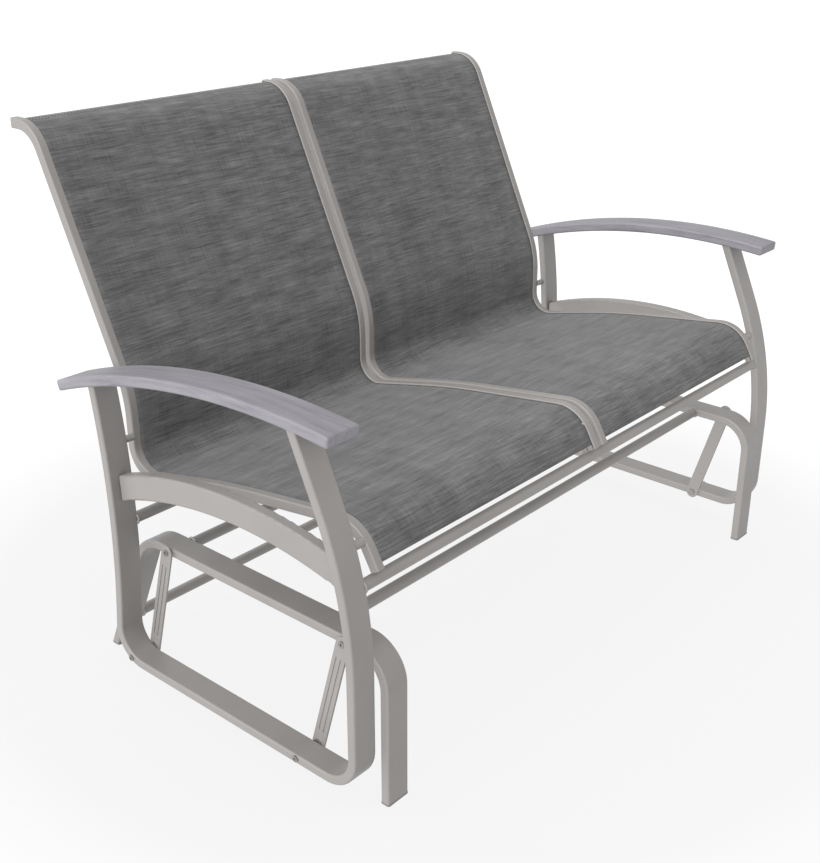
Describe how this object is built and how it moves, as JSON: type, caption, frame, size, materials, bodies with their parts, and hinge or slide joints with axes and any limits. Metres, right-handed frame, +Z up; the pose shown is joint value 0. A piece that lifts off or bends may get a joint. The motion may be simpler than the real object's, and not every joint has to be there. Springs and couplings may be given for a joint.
{
  "type": "two-seat sling glider",
  "caption": "Outdoor glider loveseat: a sling seat and back with curved arms, hung by flat links from a bent-tube base so that it swings forward and back.",
  "frame": {"origin": "centre of the overall box, on the floor under the base's feet", "axes": "+X along the seat, to the right as seen from the front; the front faces -Y; +Z up. Left and right in the names are as seen from the front"},
  "size_m": [1.26, 0.8063, 0.919],
  "materials": {
    "frame_paint": "satin warm grey powder coat",
    "link_paint": "satin warm grey powder coat over pressed flat bar",
    "sling_fabric": "woven mesh, dark grey with lighter threads across the seat",
    "faux_wood": "grained grey polymer board, brushed lengthwise",
    "glide_plastic": "moulded grey plastic",
    "cap_plastic": "moulded plastic in the frame's colour",
    "rod_plastic": "extruded plastic rod",
    "bare_aluminium": "mill finish",
    "bolt_steel": "plated steel"
  },
  "bodies": {
    "base": {"left_base_frame": "frame_paint", "right_base_frame": "frame_paint", "base_front_stretcher": "frame_paint", "base_rear_stretcher": "frame_paint", "base_lower_stretcher": "frame_paint", "left_front_glide": "glide_plastic", "left_rear_glide": "glide_plastic", "right_front_glide": "glide_plastic", "right_rear_glide": "glide_plastic", "left_front_top_bolt": "bolt_steel", "left_rear_top_bolt": "bolt_steel", "right_front_top_bolt": "bolt_steel", "right_rear_top_bolt": "bolt_steel"},
    "left_front_link": {"left_front_link": "link_paint"},
    "left_rear_link": {"left_rear_link": "link_paint"},
    "right_front_link": {"right_front_link": "link_paint"},
    "right_rear_link": {"right_rear_link": "link_paint"},
    "seat": {"left_side_frame": "frame_paint", "right_side_frame": "frame_paint", "left_arched_rail": "frame_paint", "right_arched_rail": "frame_paint", "left_armrest": "faux_wood", "right_armrest": "faux_wood", "front_seat_crossbar": "frame_paint", "rear_seat_crossbar": "frame_paint", "left_outer_sling_rail": "frame_paint", "left_centre_sling_rail": "frame_paint", "right_centre_sling_rail": "frame_paint", "right_outer_sling_rail": "frame_paint", "left_outer_rail_cap": "cap_plastic", "left_centre_rail_cap": "cap_plastic", "right_centre_rail_cap": "cap_plastic", "right_outer_rail_cap": "cap_plastic", "left_front_standoff": "frame_paint", "left_rear_standoff": "frame_paint", "right_front_standoff": "frame_paint", "right_rear_standoff": "frame_paint", "centre_front_bracket": "frame_paint", "centre_rear_bracket": "frame_paint", "left_sling": "sling_fabric", "right_sling": "sling_fabric", "left_outer_edge_rod": "rod_plastic", "left_inner_edge_rod": "rod_plastic", "right_outer_edge_rod": "rod_plastic", "right_inner_edge_rod": "rod_plastic", "left_back_spreader": "bare_aluminium", "left_seat_spreader": "bare_aluminium", "right_back_spreader": "bare_aluminium", "right_seat_spreader": "bare_aluminium", "left_front_foot_bolt": "bolt_steel", "left_rear_foot_bolt": "bolt_steel", "right_front_foot_bolt": "bolt_steel", "right_rear_foot_bolt": "bolt_steel"}
  },
  "joints": [
    {"name": "left_front_swing", "type": "hinge", "parent": "base", "child": "left_front_link", "pos_m": [-0.57125, -0.321, 0.2545], "axis": [1, 0, 0], "range_deg": [-32, 3]},
    {"name": "left_rear_swing", "type": "hinge", "parent": "base", "child": "left_rear_link", "pos_m": [-0.57125, 0.077, 0.258], "axis": [1, 0, 0], "range_deg": [-32.5, 3.5]},
    {"name": "right_front_swing", "type": "hinge", "parent": "base", "child": "right_front_link", "pos_m": [0.57125, -0.321, 0.2545], "axis": [1, 0, 0], "range_deg": [-32.5, 3.5]},
    {"name": "right_rear_swing", "type": "hinge", "parent": "base", "child": "right_rear_link", "pos_m": [0.57125, 0.077, 0.258], "axis": [1, 0, 0], "range_deg": [-32.5, 3.5]},
    {"name": "seat_hang", "type": "hinge", "parent": "left_front_link", "child": "seat", "pos_m": [-0.57125, -0.264, 0.0505], "axis": [1, 0, 0], "range_deg": [-3.5, 32.5]}
  ],
  "couplings": [
    {"joint": "left_rear_swing", "follows": "left_front_swing", "ratio": 1},
    {"joint": "right_front_swing", "follows": "left_front_swing", "ratio": 1},
    {"joint": "right_rear_swing", "follows": "left_front_swing", "ratio": 1},
    {"joint": "seat_hang", "follows": "left_front_swing", "ratio": -1}
  ]
}
